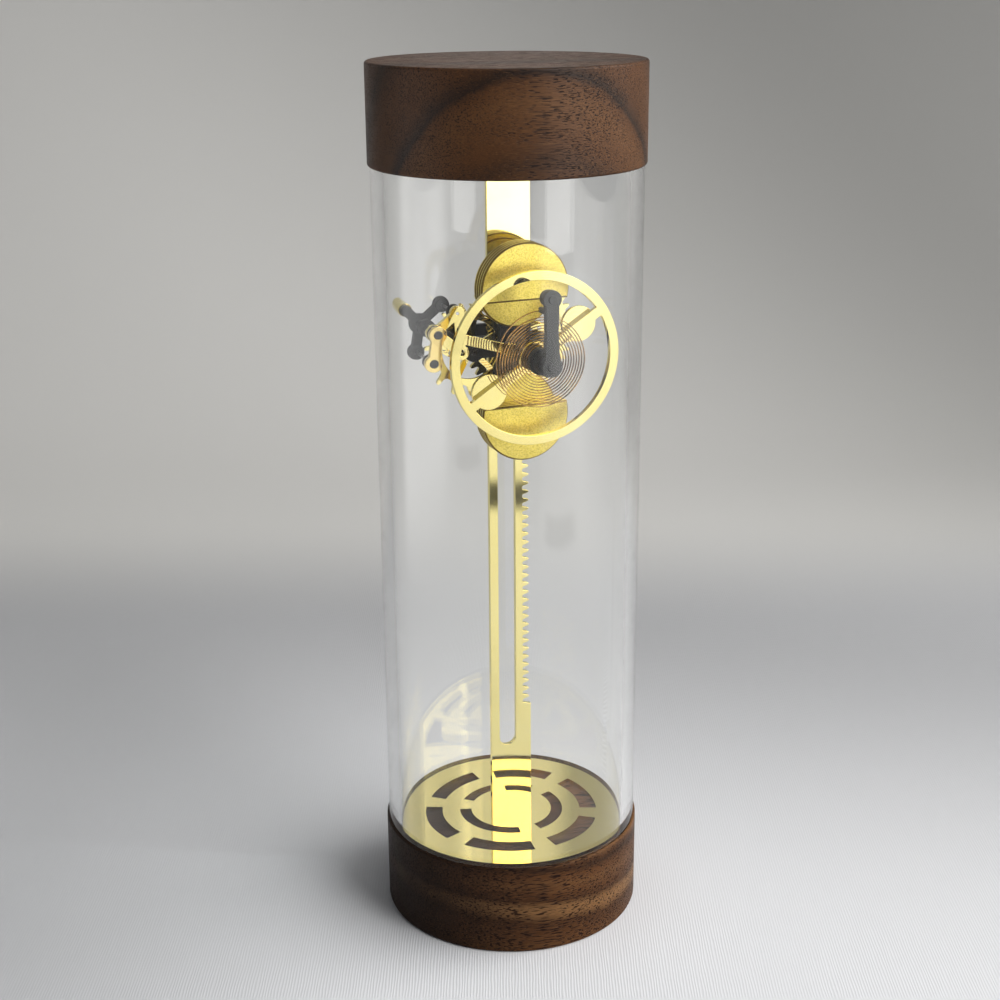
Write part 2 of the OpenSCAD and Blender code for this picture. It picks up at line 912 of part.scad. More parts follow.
module escape_wheel() {
  pitch = 360 / escape_teeth;
  rim = escape_root - escape_rim;
  color("gold")
    layer(escape_near, escape_far)
      translate(second_axis)
        rotate(pallet_bearing)
          difference() {
            polygon([
              for (k = [0 : escape_teeth - 1])
                for (p = escape_tooth) let(a = (k + p[1]) * pitch) p[0] * [cos(a), sin(a)]
            ]);
            difference() {
              circle(r = rim, $fn = 64);
              circle(r = escape_hub_radius, $fn = 48);
              spokes(wheel_spokes, 20, rim + escape_rim / 2, escape_spoke_width);
            }
            circle(r = second_arbor_radius + fit, $fn = 48);
          }
}

// Pallets: an anchor with two pins in the path of the escape teeth, and a lever with a fork

module pallet_arbor() {
  color("dimgray")
    rod(pallet_axis, pallet_arbor_radius, back_far, pallet_link_far + button_stand);
}

module pallet_lever() {
  fork_from = lever_length - impulse_reach - fork_depth;
  fork_to = lever_length - impulse_reach + fork_past;
  slot = impulse_radius + fork_gap;
  color("gold")
    layer(lever_near, lever_far)
      difference() {
        union() {
          bar(pallet_axis, upper_pin, lever_brace_width);
          bar(pallet_axis, lever_corner, lever_arm_width);
          bar(upper_pin, lever_corner, lever_brace_width);
          spot(pallet_axis, lever_boss_radius);
          spot(upper_pin, pallet_collar_radius);
          spot(lever_corner, pallet_collar_radius);
          translate(pallet_axis)
            rotate(lever_angle) {
              translate([lever_tail_from, -lever_arm_width / 2])
                square([fork_from - lever_tail_from, lever_arm_width]);
              translate([fork_from - fork_neck, -slot - fork_wall])
                square([fork_to - fork_from + fork_neck, 2 * (slot + fork_wall)]);
            }
        }
        spot(pallet_axis, pallet_arbor_radius + fit);
        spot(upper_pin, pallet_pin_radius + fit);
        spot(lever_corner, lever_hole_radius);
        translate(pallet_axis)
          rotate(lever_angle) {
            translate([fork_from + slot, -slot])
              square([fork_to, 2 * slot]);
            spot([fork_from + slot, 0], slot);
          }
      }
}

module pallet_anchor() {
  color("dimgray")
    layer(anchor_near, anchor_far)
      difference() {
        union() {
          spot(pallet_axis, anchor_hub_radius);
          for (place = [upper_pin, lower_pin]) {
            bar(pallet_axis, place, anchor_arm_width);
            spot(place, anchor_boss_radius);
          }
          bar(pallet_axis, trim_place, anchor_arm_width);
          spot(trim_place, trim_boss_radius);
        }
        spot(pallet_axis, pallet_arbor_radius + fit);
        spot(upper_pin, pallet_pin_radius + fit);
        spot(lower_pin, pallet_pin_radius + fit);
        spot(trim_place, screw_radius + fit);
      }
}

module pallet_pins() {
  color("silver")
    union() {
      rod(upper_pin, pallet_pin_radius, anchor_near, lever_far);
      rod(lower_pin, pallet_pin_radius, anchor_near, pallet_link_far);
    }
}

module pallet_collars() {
  color("dimgray")
    difference() {
      union() {
        rod(upper_pin, pallet_collar_radius, anchor_far, anchor_far + collar_height);
        rod(upper_pin, pallet_collar_radius, lever_near - lever_collar_height, lever_near);
        rod(lower_pin, pallet_collar_radius, anchor_far, anchor_far + collar_height);
        rod(lower_pin, pallet_collar_radius, pallet_link_near - link_collar_height, pallet_link_near);
        rod(lower_pin, pallet_button_radius, pallet_link_near, pallet_link_far + button_stand);
      }
      rod(upper_pin, pallet_pin_radius + fit, anchor_near, lever_far);
      rod(lower_pin, pallet_pin_radius + fit, anchor_near, pallet_link_far + fit);
    }
}

module pallet_link() {
  color("gold")
    layer(pallet_link_near, pallet_link_far)
      difference() {
        union() {
          bar(pallet_axis, lower_pin, link_width);
          spot(pallet_axis, link_boss_radius);
          spot(lower_pin, link_boss_radius);
        }
        spot(pallet_axis, pallet_arbor_radius + fit);
        spot(lower_pin, pallet_button_radius + fit);
      }
}

module trim_weight() {
  color("gold")
    difference() {
      rod(trim_place, trim_radius, anchor_near, anchor_near - trim_length);
      rod(trim_place, screw_radius + fit, anchor_near + 1, anchor_near - trim_screw_depth - trim_hole_room);
    }
}

module trim_screw() {
  color("dimgray")
    union() {
      rod(trim_place, screw_radius, anchor_far, anchor_near - trim_screw_depth);
      rod(trim_place, trim_head_radius, anchor_far, anchor_far + trim_head_height);
    }
}

// Balance

module balance_wheel() {
  color("gold")
    layer(balance_near, balance_far)
      difference() {
        union() {
          difference() {
            circle(r = balance_radius, $fn = 192);
            circle(r = balance_radius - rim_width, $fn = 192);
          }
          rotate(spoke_angle)
            square([2 * balance_radius - rim_width, spoke_width], center = true);
          circle(r = hub_radius + balance_boss_wall, $fn = 64);
        }
        circle(r = hub_radius + fit, $fn = 64);
      }
}

module balance_discs() {
  color("gold")
    for (s = [-1, 1])
      rod(
        s * balance_disc_reach * [cos(spoke_angle), sin(spoke_angle)], balance_disc_radius,
        balance_near - balance_disc_thickness, balance_near
      );
}

module balance_hub() {
  color("dimgray")
    difference() {
      union() {
        rod([0, 0], hub_radius, hub_near, hub_far);
        rod([0, 0], hub_flange_radius, hub_near, hub_near + hub_flange_height);
        rod([0, 0], collet_radius, hub_far - collet_height, hub_far);
      }
      rod([0, 0], post_radius + running, hub_near - 1, hub_far + 1);
      rod(impulse_place, impulse_radius + fit, hub_near - 1, hub_near + hub_flange_height);
    }
}

module impulse_pin() {
  color("silver")
    rod(impulse_place, impulse_radius, lever_near - impulse_stand, hub_near + hub_flange_height);
}

cap_bottom();
cap_top();
tube();
disc_bottom();
disc_top();
toothed_strip();
frame_front();
frame_back();
guide_shoes();
shoe_screws();
weight_discs();
weight_plates_1();
weight_plates_2();
weight_plates_3();
weight_plates_4();
weight_screws();
rear_bridge();
bridge_pillars();
bridge_screws();
balance_post();
balance_cock();
cock_pin();
spring_stud();
hairspring();
great_arbor();
strip_pinion_shrouds();
strip_pinion_pins_set();
great_wheel();
second_arbor();
second_pinion_shrouds();
second_pinion_pins_set();
escape_wheel();
pallet_arbor();
pallet_lever();
pallet_anchor();
pallet_pins();
pallet_collars();
pallet_link();
trim_weight();
trim_screw();
balance_wheel();
balance_discs();
balance_hub();
impulse_pin();
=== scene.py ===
"""Looks of a mechanical hourglass: a movement that creeps down a toothed strip in a clear tube.

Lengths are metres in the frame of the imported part: +Z up the tube, -Y towards the balance.
Places and repeats inside a finish's pattern are millimetres.
"""

from __future__ import annotations

import json
import logging
import math
from dataclasses import dataclass, field
from enum import Enum
from typing import Any, Iterable, Union

import bmesh
import bpy
from mathutils import Matrix, Vector

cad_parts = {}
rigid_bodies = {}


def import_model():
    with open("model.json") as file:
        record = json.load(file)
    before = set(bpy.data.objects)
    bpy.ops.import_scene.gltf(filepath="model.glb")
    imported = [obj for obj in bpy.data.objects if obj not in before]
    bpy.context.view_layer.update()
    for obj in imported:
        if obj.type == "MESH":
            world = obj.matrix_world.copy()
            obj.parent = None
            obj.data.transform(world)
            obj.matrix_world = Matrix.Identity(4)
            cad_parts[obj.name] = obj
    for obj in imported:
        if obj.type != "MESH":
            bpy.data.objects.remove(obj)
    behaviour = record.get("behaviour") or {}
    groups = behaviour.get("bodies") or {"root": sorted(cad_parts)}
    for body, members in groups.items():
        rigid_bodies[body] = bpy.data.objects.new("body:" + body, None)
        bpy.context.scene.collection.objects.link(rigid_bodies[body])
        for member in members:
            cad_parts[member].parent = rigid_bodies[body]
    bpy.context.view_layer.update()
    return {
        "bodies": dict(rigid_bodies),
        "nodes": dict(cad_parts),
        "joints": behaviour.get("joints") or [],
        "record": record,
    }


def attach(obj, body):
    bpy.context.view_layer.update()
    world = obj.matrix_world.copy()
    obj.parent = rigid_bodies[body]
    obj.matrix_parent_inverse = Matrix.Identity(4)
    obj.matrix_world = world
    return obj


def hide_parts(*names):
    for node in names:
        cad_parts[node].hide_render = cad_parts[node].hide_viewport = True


LOG = logging.getLogger("hourglass")
MM = 0.001
PER_MM = 1000.0
# The set and its camera are turned about the part's axis by this angle.
SET_TURN = math.radians(-22.0)
Colour = tuple[float, float, float]
Span = tuple[float, float]
Number = Union[float, "Signal"]


def on_set(right: float, away: float, up: float) -> Vector:
    """A point of the set in the part's axes.

    Args:
        right: Distance to the right of the part, as the camera sees it.
        away: Distance behind the part's axis.
        up: Height above the floor.

    Returns:
        The point in the part's axes.
    """
    return Matrix.Rotation(SET_TURN, 3, "Z") @ Vector((right, away, up))


class Signal:
    """A shader socket that takes part in arithmetic."""

    def __init__(self, shader: "Shader", socket: bpy.types.NodeSocket) -> None:
        """Wrap `socket` of `shader`'s tree."""
        self.shader = shader
        self.socket = socket

    def _math(self, operation: str, *values: Number) -> "Signal":
        """Add one Math node.

        Args:
            operation: The Math node's operation.
            values: Its inputs in order.

        Returns:
            The node's result.
        """
        return self.shader.add("ShaderNodeMath", {"operation": operation}, dict(enumerate(values)))

    def __add__(self, other: Number) -> "Signal":
        """Sum."""
        return self._math("ADD", self, other)

    def __radd__(self, other: Number) -> "Signal":
        """Sum with a number first."""
        return self._math("ADD", other, self)

    def __sub__(self, other: Number) -> "Signal":
        """Difference."""
        return self._math("SUBTRACT", self, other)

    def __rsub__(self, other: Number) -> "Signal":
        """Difference with a number first."""
        return self._math("SUBTRACT", other, self)

    def __mul__(self, other: Number) -> "Signal":
        """Product."""
        return self._math("MULTIPLY", self, other)

    def __truediv__(self, other: Number) -> "Signal":
        """Quotient."""
        return self._math("DIVIDE", self, other)

    def sine(self) -> "Signal":
        """Sine of an angle in radians."""
        return self._math("SINE", self)

    def root(self) -> "Signal":
        """Square root."""
        return self._math("SQRT", self)

    def least(self, other: Number) -> "Signal":
        """The smaller of two values."""
        return self._math("MINIMUM", self, other)

    def most(self, other: Number) -> "Signal":
        """The larger of two values."""
        return self._math("MAXIMUM", self, other)

    def swing(self, depth: float) -> "Signal":
        """A value from 0 to 1 made to swing about zero, `depth` from end to end."""
        return (self - 0.5) * depth

    def between(self, low: float, high: float) -> "Signal":
        """A smooth step.

        Args:
            low: Where the step is 0.
            high: Where it is 1; it may be the smaller of the two.

        Returns:
            The step's value.
        """
        settings = {"interpolation_type": "SMOOTHSTEP"}
        inputs = dict(enumerate((self, low, high, 0.0, 1.0)))
        return self.shader.add("ShaderNodeMapRange", settings, inputs)


class Shader:
    """The node tree of one material or of the room's world, built by expressions."""

    # A Mix node's sockets share their names, so the colour ones are taken by number.
    MIX_SHARE, MIX_A, MIX_B, MIX_RESULT = 0, 6, 7, 2

    def __init__(self, name: str, room: bool = False) -> None:
        """Start an empty tree.

        Args:
            name: Name of the material or world.
            room: Whether the tree is the world's.
        """
        self.owner = bpy.data.worlds.new(name) if room else bpy.data.materials.new(name)
        self.output = "ShaderNodeOutputWorld" if room else "ShaderNodeOutputMaterial"
        self.owner.use_nodes = True
        self.tree = self.owner.node_tree
        self.tree.nodes.clear()

    def add(self, kind: str, settings: dict[str, Any] | None = None,
            inputs: dict[Any, Any] | None = None, out: Any = 0) -> Signal:
        """Add any node.

        Args:
            kind: The node's type.
            settings: Its properties, set before its sockets; "stops" fills a ramp.
            inputs: Values or signals by socket name or number.
            out: Name or number of the output wanted.

        Returns:
            The wanted output.
        """
        node = self.tree.nodes.new(kind)
        for key, value in (settings or {}).items():
            if key == "stops":
                self._fill(node.color_ramp, value)
            else:
                setattr(node, key, value)
        for key, value in (inputs or {}).items():
            socket = node.inputs[key]
            if isinstance(value, Signal):
                self.tree.links.new(value.socket, socket)
            elif socket.type == "RGBA" and len(value) == 3:
                socket.default_value = (*value, 1.0)
            else:
                socket.default_value = value
        return Signal(self, node.outputs[out])

    @staticmethod
    def _fill(ramp: bpy.types.ColorRamp, stops: Iterable[tuple[float, Colour]]) -> None:
        """Give a ramp its stops; it starts with two."""
        for i, (place, colour) in enumerate(stops):
            stop = ramp.elements[i] if i < 2 else ramp.elements.new(place)
            stop.position = place
            stop.color = (*colour, 1.0)

    def place(self, turn: float = 0.0, scale: Colour = (1.0, 1.0, 1.0),
              shift: Colour = (0.0, 0.0, 0.0)) -> Signal:
        """Object coordinates in millimetres, turned about Z, scaled and shifted.

        Args:
            turn: Turn about Z in radians.
            scale: Pattern repeats per millimetre along each turned axis.
            shift: Shift of the pattern in its own units.

        Returns:
            The mapped vector.
        """
        raw = self.add("ShaderNodeTexCoord", out="Object")
        turned = self.add("ShaderNodeMapping", {}, {
            "Vector": raw, "Rotation": (0.0, 0.0, turn), "Scale": (PER_MM, PER_MM, PER_MM)})
        return self.add("ShaderNodeMapping", {}, {
            "Vector": turned, "Location": shift, "Scale": scale})

    def noise(self, vector: Signal, scale: float, detail: float = 2.0,
              rough: float = 0.5) -> Signal:
        """Three-way noise from 0 to 1.

        Args:
            vector: Where the noise is read.
            scale: Repeats per unit of `vector`.
            detail: Octaves.
            rough: Share of each finer octave.

        Returns:
            The noise value.
        """
        return self.add("ShaderNodeTexNoise", {}, {
            "Vector": vector, "Scale": scale, "Detail": detail, "Roughness": rough}, "Fac")

    def light_path(self, *names: str) -> list[Signal]:
        """What kind of ray meets the surface.

        Args:
            names: Outputs of the Light Path node.

        Returns:
            One signal for each name.
        """
        return [self.add("ShaderNodeLightPath", out=name) for name in names]

    def split(self, vector: Signal) -> tuple[Signal, Signal, Signal]:
        """The three parts of a vector."""
        first = self.add("ShaderNodeSeparateXYZ", {}, {0: vector})
        outputs = first.socket.node.outputs
        return tuple(Signal(self, outputs[i]) for i in range(3))

    def mix(self, share: Number, a: Any, b: Any) -> Signal:
        """Blend two colours.

        Args:
            share: How much of `b` shows.
            a: The first colour or signal.
            b: The second.

        Returns:
            The blended colour.
        """
        inputs = {self.MIX_SHARE: share, self.MIX_A: a, self.MIX_B: b}
        return self.add("ShaderNodeMix", {"data_type": "RGBA"}, inputs, self.MIX_RESULT)

    def bump(self, height: Signal, distance: float, strength: float,
             under: Signal | None = None) -> Signal:
        """Surface normal from a height field.

        Args:
            height: Height from 0 to 1.
            distance: Real depth of the relief.
            strength: How much of it shows.
            under: A coarser relief to add to.

        Returns:
            The bent normal.
        """
        inputs: dict[Any, Any] = {"Height": height, "Distance": distance, "Strength": strength}
        if under is not None:
            inputs["Normal"] = under
        return self.add("ShaderNodeBump", {}, inputs)

    def finish(self, **sockets: Any) -> bpy.types.Material:
        """Close the tree with a Principled surface.

        Args:
            sockets: Values or signals by socket name, with _ for a space.

        Returns:
            The finished material.
        """
        inputs = {key.replace("_", " "): value for key, value in sockets.items()}
        return self.close(self.add("ShaderNodeBsdfPrincipled", {}, inputs))

    def close(self, surface: Signal) -> Any:
        """Send a surface to the tree's output and return the material or world."""
        node = self.tree.nodes.new(self.output)
        self.tree.links.new(surface.socket, node.inputs["Surface"])
        return self.owner


@dataclass(frozen=True)
class Walnut:
    """Oiled walnut, turned from a board whose growth rings run round a pith line beside the cap.

    The figure lists the tone of the rings, from 0 for dark to 1 for pale, by their distance
    beyond `ring`.
    """

    pith: Span
    ring: float
    figure: tuple[Span, ...]
    grain_turn: float = math.radians(14.0)
    lean: float = 0.0
    # Where the wood darkens towards the left: dark heartwood, and painted shade on the side away
    # from the window.
    heart_and_shade: Span = (-60.0, -40.0)
    heart_and_shade_share: float = 0.9
    heart_and_shade_ragged: float = 12.0
    seed: float = 0.0
    gloss: float = 0.22
    roughness: float = 0.36
    sway_depth: float = 3.0
    ripple_depth: float = 1.3
    fibre_dark: float = 0.45
    fibre_pale: float = 0.30
    fibre_depth: float = 0.03 * MM
    pore_size: float = 1.0
    pore_from: float = 0.55
    pore_edge: float = 0.08
    pore_share: float = 0.88
    pore_depth: float = 0.10 * MM
    pale: Colour = (0.250, 0.128, 0.050)
    middle: Colour = (0.104, 0.041, 0.013)
    dark: Colour = (0.010, 0.005, 0.003)
    pore: Colour = (0.008, 0.003, 0.002)

    @property
    def turn(self) -> float:
        """Turn of the fibres about Z."""
        return -SET_TURN - self.grain_turn

    def tone(self, share: float) -> Colour:
        """The wood's colour at a tone between dark and pale."""
        low, high, place = (self.dark, self.middle, share * 2.0) if share < 0.5 else (
            self.middle, self.pale, share * 2.0 - 1.0)
        return tuple(x + (y - x) * place for x, y in zip(low, high))

    def drawn(self, s: Shader, per_mm: Span, shift: Span = (0.0, 0.0), detail: float = 2.0,
              rough: float = 0.5, scale: float = 1.0) -> Signal:
        """Noise drawn out along the fibres.

        Args:
            s: The wood's tree.
            per_mm: Repeats along and across the fibres.
            shift: Shift across the fibres, which sets one pattern apart from another.
            detail: Octaves.
            rough: Share of each finer octave.
            scale: A factor on all the repeats.

        Returns:
            The noise value.
        """
        along, across = per_mm
        place = s.place(self.turn, (along, across, across), (self.seed, *shift))
        return s.noise(place, scale, detail, rough)

    def build(self, title: str) -> bpy.types.Material:
        """Make the wood: rings, dark heartwood with painted shade on the same side, fibres and open
        pores.
        """
        s = Shader(title)
        along, across, up = s.split(s.place(self.turn))
        sway = self.drawn(s, (0.03, 0.06))
        ripple = self.drawn(s, (0.08, 0.5), (3.0, 0.0), 3.0)
        fibre = self.drawn(s, (0.12, 4.6), detail=3.0, rough=0.6)
        pores = self.drawn(s, (0.42, 4.4), (0.0, 5.0), 1.0, scale=1.0 / self.pore_size)
        cells = self.drawn(s, (0.05, 0.12), (0.0, 9.0), 1.0)
        sheen = s.noise(s.place(self.turn), 0.35)

        y = across - self.pith[0]
        z = up + along * self.lean - self.pith[1]
        beyond = (y * y + z * z).root() - self.ring
        beyond = beyond + sway.swing(self.sway_depth) + ripple.swing(self.ripple_depth)
        span = self.figure[-1][0]
        stops = [(place / span, self.tone(share)) for place, share in self.figure]
        colour = s.add("ShaderNodeValToRGB", {"stops": stops}, {0: beyond / span})

        # Darker towards the left, partly dark heartwood and partly painted shade.
        heart_and_shade = (along + ripple.swing(self.heart_and_shade_ragged)).between(self.heart_and_shade[1], self.heart_and_shade[0])
        colour = s.mix(heart_and_shade * self.heart_and_shade_share, colour, self.dark)
        colour = s.mix(fibre.between(0.46, 0.74) * self.fibre_dark, colour, self.dark)
        colour = s.mix(fibre.between(0.46, 0.26) * self.fibre_pale, colour, self.pale)
        open_pores = pores.between(self.pore_from, self.pore_from + self.pore_edge)
        open_pores = open_pores * cells.between(0.20, 0.46)
        colour = s.mix(open_pores * self.pore_share, colour, self.pore)

        grain = s.bump(1.0 - fibre, self.fibre_depth, 0.5)
        return s.finish(
            Base_Color=colour, Roughness=self.roughness + sheen * 0.12 + open_pores * 0.25,
            Normal=s.bump(1.0 - open_pores, self.pore_depth, 0.8, grain),
            Specular_IOR_Level=self.gloss)


@dataclass(frozen=True)
class ClearTube:
    """Clear polished tube with faint wipe marks, open to the light of the lamps."""

    tint: Colour = (0.995, 0.998, 0.998)
    wiped: Colour = (0.985, 0.992, 0.990)
    lamp_light: Colour = (0.95, 0.96, 0.96)
    ior: float = 1.47
    roughness: float = 0.02

    def build(self, title: str) -> bpy.types.Material:
        """Make the glass; lamps shine through it."""
        s = Shader(title)
        wipes = s.noise(s.place(0.4, (0.05, 0.05, 0.012)), 1.0, 3.0, 0.6)
        glass = s.add("ShaderNodeBsdfPrincipled", {}, {
            "Base Color": s.mix(wipes * 0.4, self.tint, self.wiped),
            "Roughness": wipes.between(0.55, 0.85) * self.roughness,
            "IOR": self.ior, "Transmission Weight": 1.0})
        through = s.add("ShaderNodeBsdfTransparent", {}, {"Color": self.lamp_light})
        shadow, = s.light_path("Is Shadow Ray")
        return s.close(s.add("ShaderNodeMixShader", {}, {0: shadow, 1: glass, 2: through}))


@dataclass(frozen=True)
class PolishedBrass:
    """Sheet brass with a mirror polish, hairline wipes and a little tarnish in cloudy patches."""

    tint: Colour = (0.97, 0.85, 0.36)
    tarnish: Colour = (0.93, 0.77, 0.27)
    tarnish_share: float = 0.4
    roughness: float = 0.045
    lines: Colour = (0.05, 1.0, 14.0)
    line_depth: float = 0.0006 * MM

    def build(self, title: str) -> bpy.types.Material:
        """Make the polished brass."""
        s = Shader(title)
        cloud = s.noise(s.place(), 0.09, 3.0, 0.6)
        hair = s.noise(s.place(0.0, self.lines), 1.0, 2.0, 0.6)
        tint = s.mix(cloud.between(0.45, 0.80) * self.tarnish_share, self.tint, self.tarnish)
        dull = cloud.between(0.4, 0.9) * 0.04
        return s.finish(Base_Color=tint, Metallic=1.0,
                        Roughness=self.roughness + dull + hair.between(0.55, 0.8) * 0.02,
                        Normal=s.bump(hair, self.line_depth, 0.5))


@dataclass(frozen=True)
class BlastedBrass:
    """Brass with a fine bead-blasted grain that glints grain by grain."""

    tint: Colour = (0.74, 0.60, 0.135)
    shade: Colour = (0.47, 0.36, 0.06)
    cloud_share: float = 0.35
    roughness: float = 0.26
    grain: float = 3.4
    grain_depth: float = 0.030 * MM

    def build(self, title: str) -> bpy.types.Material:
        """Make the grainy brass."""
        s = Shader(title)
        pits = s.noise(s.place(), self.grain, 3.0, 0.7)
        cloud = s.noise(s.place(), 0.22)
        tint = s.mix(pits.between(0.34, 0.58), self.shade, self.tint)
        tint = s.mix(cloud.between(0.5, 0.85) * self.cloud_share, tint, self.shade)
        return s.finish(Base_Color=tint, Metallic=1.0, Roughness=self.roughness + pits * 0.16,
                        Normal=s.bump(pits, self.grain_depth, 0.8))


@dataclass(frozen=True)
class DarkMetal:
    """Matte dark grey coating with a fine even tooth and paler rubbed patches."""

    tint: Colour = (0.014, 0.014, 0.013)
    rubbed: Colour = (0.026, 0.025, 0.023)
    roughness: float = 0.42
    gloss: float = 0.25
    tooth: float = 5.0
    tooth_depth: float = 0.002 * MM

    def build(self, title: str) -> bpy.types.Material:
        """Make the dark coating."""
        s = Shader(title)
        tooth = s.noise(s.place(), self.tooth, 2.0, 0.6)
        patch = s.noise(s.place(), 0.35, 1.0)
        tint = s.mix(patch.between(0.40, 0.80), self.tint, self.rubbed)
        return s.finish(Base_Color=tint, Roughness=self.roughness + patch * 0.14,
                        Specular_IOR_Level=self.gloss,
                        Normal=s.bump(tooth, self.tooth_depth, 0.25))


@dataclass(frozen=True)
class TurnedSteel:
    """Bright steel with fine turning lines across its axis."""

    tint: Colour = (0.60, 0.60, 0.61)
    worn: Colour = (0.42, 0.42, 0.43)
    roughness: float = 0.20
    lines: Colour = (0.4, 9.0, 0.4)
    line_depth: float = 0.006 * MM

    def build(self, title: str) -> bpy.types.Material:
        """Make the steel."""
        s = Shader(title)
        lines = s.noise(s.place(0.0, self.lines), 1.0, 2.0, 0.6)
        cloud = s.noise(s.place(), 0.5)
        tint = s.mix(cloud.between(0.45, 0.8), self.tint, self.worn)
        return s.finish(Base_Color=tint, Metallic=1.0, Roughness=self.roughness + lines * 0.16,
                        Normal=s.bump(lines, self.line_depth, 0.6))


@dataclass(frozen=True)
class SpringBronze:
    """Drawn bronze ribbon, warm and bright on its flat and browner where it was heated."""

    tint: Colour = (0.52, 0.31, 0.10)
    heated: Colour = (0.16, 0.075, 0.03)
    roughness: float = 0.16
    lines: Colour = (0.3, 12.0, 0.3)
    line_depth: float = 0.004 * MM

    def build(self, title: str) -> bpy.types.Material:
        """Make the bronze."""
        s = Shader(title)
        heat = s.noise(s.place(), 0.28)
        drawn = s.noise(s.place(0.0, self.lines), 1.0)
        tint = s.mix(heat.between(0.38, 0.68), self.tint, self.heated)
        return s.finish(Base_Color=tint, Metallic=1.0, Roughness=self.roughness + drawn * 0.14,
                        Normal=s.bump(drawn, self.line_depth, 0.5))


@dataclass(frozen=True)
class SetPlace:
    """Where a point of the sweep lies, in millimetres as the camera sees the set."""

    along: Signal
    away: Signal
    near: Signal
    up: Signal


@dataclass(frozen=True)
class ClothSweep:
    """White ribbed cloth on the table, running into a plain grey wall.

    Each span gives where a tone starts and where it is full, in millimetres; a span whose name
    ends in _square is of squared distances, and one that ends in _slope is of near over along.
    """

    # Much of the sweep's colour below is painted light and shade.
    cloth: Colour = (0.86, 0.87, 0.90)
    # Painted shade on the cloth, also the tone of the weave's darker ribs and threads.
    cloth_painted_shade_and_weave: Colour = (0.45, 0.455, 0.47)
    # Painted light on the cloth at the front right.
    cloth_painted_light: Colour = (0.96, 0.96, 0.97)
    # Spans of painted shade behind and to the left, painted light at the front right, and painted
    # shade at the far front right corner.
    back_from: Span = (-40.0, 190.0)
    back_skew: float = 0.25
    left_from: Span = (-15.0, -150.0)
    left_share: float = 0.55
    front_near: Span = (60.0, 150.0)
    front_right: Span = (30.0, 120.0)
    corner_near: Span = (380.0, 560.0)
    corner_right: Span = (200.0, 400.0)
    corner_share: float = 0.6
    rib: float = 0.68
    rib_stray: float = 0.7
    rib_share: float = 0.07
    rib_depth: float = 0.05 * MM
    thread_share: float = 0.05

    wall: Colour = (0.66, 0.655, 0.64)
    # Painted shade on the wall up and to the right.
    wall_painted_shade: Colour = (0.28, 0.278, 0.27)
    # Painted light high on the wall, for the discs and cap tops to mirror.
    wall_painted_light: Colour = (0.94, 0.93, 0.91)
    wall_from: Span = (170.0, 290.0)
    dim_from: Span = (240.0, 950.0)
    dim_rise: float = 0.9
    dim_right: float = 1.5
    high_up: Span = (225.0, 300.0)
    high_square: Span = (5200.0, 300.0)

    # Painted light: the cloth and wall are paler where they are seen through the tube.
    painted_light_through_tube: Colour = (0.95, 0.95, 0.95)
    painted_light_through_cloth: float = 0.35
    painted_light_through_wall_less: float = 0.20

    front_shade: Colour = (0.10, 0.10, 0.10)
    shade_start: Span = (240.0, 340.0)
    shade_end: Span = (950.0, 800.0)
    shade_side: Span = (-10.0, 50.0)
    shade_lean: float = 0.55

    # Painted shade seen only in reflections: a dark band that the brass strip mirrors.
    reflected_shade_band: Colour = (0.02, 0.02, 0.02)
    reflected_shade_band_aim: Span = (0.695, 0.719)
    reflected_shade_band_start: Span = (298.0, 312.0)
    reflected_shade_band_end: Span = (352.0, 336.0)
    reflected_shade_band_square: Span = (8100.0, 3600.0)

    foot_right: float = 630.0
    foot_near: float = 655.0
    foot_square: Span = (490000.0, 40000.0)
    foot_window: Span = (320.0, 750.0)
    foot_share: float = 0.85

    glow: float = 2.4
    glow_tint: Colour = (1.0, 1.0, 0.99)
    left_low_slope: Span = (0.95, 0.60)
    left_high_slope: Span = (-0.25, -0.05)
    left_glow: Span = (-220.0, -420.0)
    right_low_slope: Span = (0.30, 0.60)
    right_high_slope: Span = (3.0, 1.6)
    right_glow: Span = (240.0, 420.0)
    right_share: float = 0.5

    def cloth_tone(self, s: Shader, at: SetPlace, ribs: Signal) -> Signal:
        """The cloth's colour: painted shade behind, to the left and at the far front right, painted
        light at the front right, and darker ribs and threads of the weave.
        """
        # Painted shade: the cloth darkens behind the part and towards its left.
        back = (at.away + at.along * self.back_skew).between(*self.back_from)
        tone = s.mix(back, self.cloth, self.cloth_painted_shade_and_weave)
        left = at.along.between(*self.left_from)
        tone = s.mix(left * self.left_share, tone, self.cloth_painted_shade_and_weave)
        # Painted light: a brighter pool of cloth at the front right that the lower strip mirrors.
        front = at.near.between(*self.front_near) * at.along.between(*self.front_right)
        tone = s.mix(front, tone, self.cloth_painted_light)
        # Painted shade on the cloth at the far front right.
        corner = at.near.between(*self.corner_near) * at.along.between(*self.corner_right)
        tone = s.mix(corner * self.corner_share, tone, self.cloth_painted_shade_and_weave)
        threads = s.noise(s.place(-SET_TURN, (1.4, 0.6, 1.0)), 1.0)
        return s.mix(ribs * self.rib_share + threads * self.thread_share, tone, self.cloth_painted_shade_and_weave)

    def wall_tone(self, s: Shader, at: SetPlace) -> Signal:
        """The wall's colour, with painted shade up and to the right and painted light high behind
        the part, which the discs mirror.
        """
        dim = (at.away + at.up) * self.dim_rise + at.along * self.dim_right
        tone = s.mix(dim.between(*self.dim_from), self.wall, self.wall_painted_shade)
        high = at.up.between(*self.high_up) * (at.along * at.along).between(*self.high_square)
        return s.mix(high, tone, self.wall_painted_light)

    def shade_mask(self, at: SetPlace) -> Signal:
        """The dark stretch of floor before the part that the metal mirrors."""
        depth = at.near.between(*self.shade_start) * at.near.between(*self.shade_end)
        return depth * (at.near * self.shade_lean - at.along).between(*self.shade_side)

